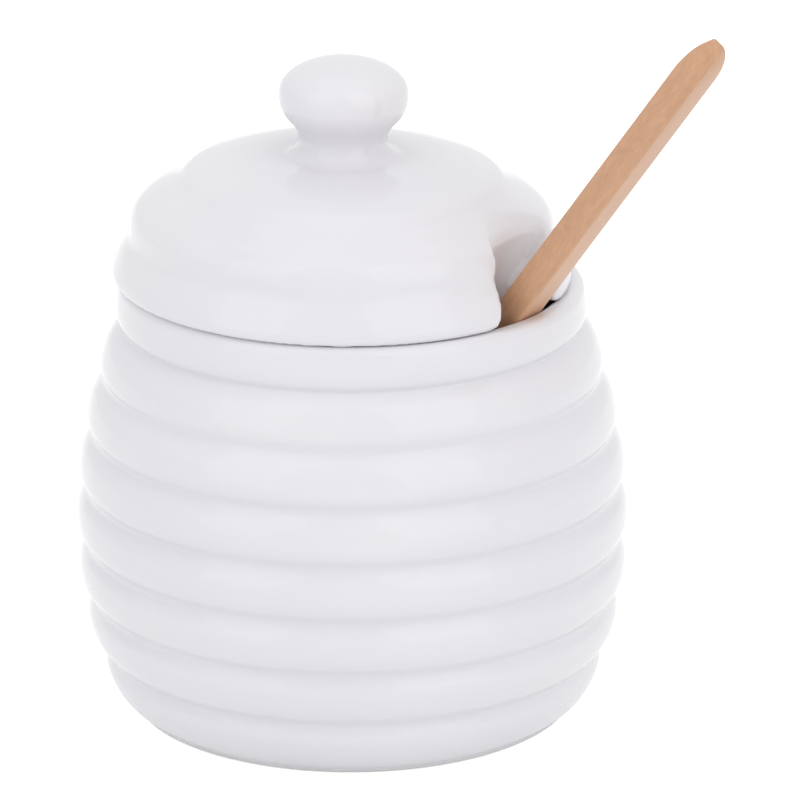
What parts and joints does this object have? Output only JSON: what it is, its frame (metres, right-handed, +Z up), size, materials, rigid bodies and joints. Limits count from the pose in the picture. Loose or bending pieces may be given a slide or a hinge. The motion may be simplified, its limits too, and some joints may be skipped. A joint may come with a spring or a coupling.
{
  "type": "lidded honey jar with dipper",
  "caption": "Ribbed beehive-shaped porcelain honey jar with a domed lift-off lid, a bun knob, and a wooden dipper leaning out through an arched notch in the lid's rim.",
  "frame": {"origin": "centre of the jar's flat underside, on the table", "axes": "+Z up the jar's axis; the picture looks along +Y, so -Y faces the viewer and +X is to the viewer's right, where the dipper leans out"},
  "size_m": [0.1271, 0.11, 0.15],
  "materials": {
    "jar_glaze": "gloss white porcelain glaze",
    "lid_glaze": "gloss white porcelain glaze",
    "handle_wood": "sanded bare beech with fine flecks",
    "head_wood": "turned bare beech"
  },
  "bodies": {
    "jar": {"jar_body": "jar_glaze"},
    "lid": {"lid": "lid_glaze"},
    "dipper": {"dipper_handle": "handle_wood", "dipper_head": "head_wood"}
  },
  "joints": [
    {"name": "lid_lift", "type": "slide", "parent": "jar", "child": "lid", "axis": [0, 0, 1], "range_m": [0, 0.06]},
    {"name": "dipper_slide", "type": "slide", "parent": "jar", "child": "dipper", "axis": [0.4885, -0.3357, 0.8054], "range_m": [0, 0.05]}
  ]
}
